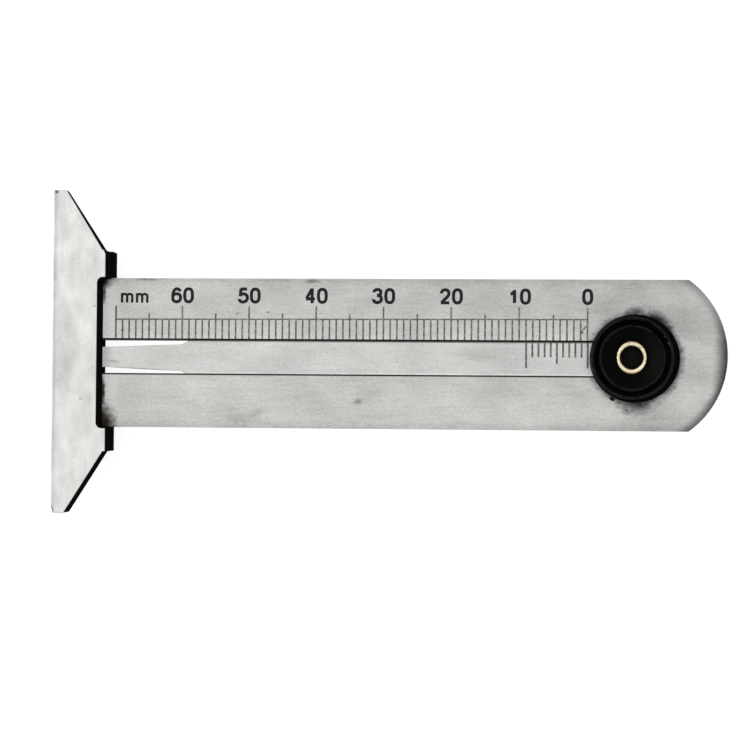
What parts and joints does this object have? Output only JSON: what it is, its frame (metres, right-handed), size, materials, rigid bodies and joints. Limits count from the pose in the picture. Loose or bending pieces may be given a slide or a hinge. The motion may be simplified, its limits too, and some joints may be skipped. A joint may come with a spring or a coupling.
{
  "type": "depth gauge",
  "caption": "Flat pocket depth gauge: a slotted steel beam with a millimetre scale, a wide foot with wings, and a sliding vernier blade moved by a round thumb knob.",
  "frame": {"origin": "on the end face of the probe's tip, on the blade's centre line and halfway through the beam's thickness; at reading 0 it lies in the foot's measuring face", "axes": "+X from the measuring face along the beam to its rounded end, +Y across the beam towards the scale's figures, +Z out of the face that carries the scale"},
  "size_m": [0.099, 0.0476, 0.0074],
  "materials": {
    "beam_steel": "satin stainless steel brushed lengthwise, with light handling stains",
    "blade_steel": "satin stainless steel brushed lengthwise",
    "foot_steel": "fine ground front and measuring face, blackened walls",
    "black_oxide": "blackened steel, matte",
    "screw_steel": "turned steel",
    "engraving_fill": "black paint in engraved lines",
    "knob_plastic": "moulded black plastic, semi-gloss",
    "brass": "rolled brass, bright on the lip",
    "spring_steel": "rolled spring steel"
  },
  "bodies": {
    "frame": {"beam_plate": "beam_steel", "foot_bridge": "foot_steel", "foot_rear_cheek": "black_oxide", "foot_screws": "screw_steel", "foot_dowels": "screw_steel", "scale_ticks": "engraving_fill", "scale_figures": "engraving_fill"},
    "slider": {"depth_blade": "blade_steel", "vernier_ticks": "engraving_fill", "thumb_knob": "knob_plastic", "tube_rivet": "brass", "keeper_plate": "spring_steel", "leaf_spring": "spring_steel", "rivet_washer": "screw_steel"}
  },
  "joints": [
    {"name": "blade_slide", "type": "slide", "parent": "frame", "child": "slider", "axis": [-1, 0, 0], "range_m": [0, 0.07]}
  ]
}
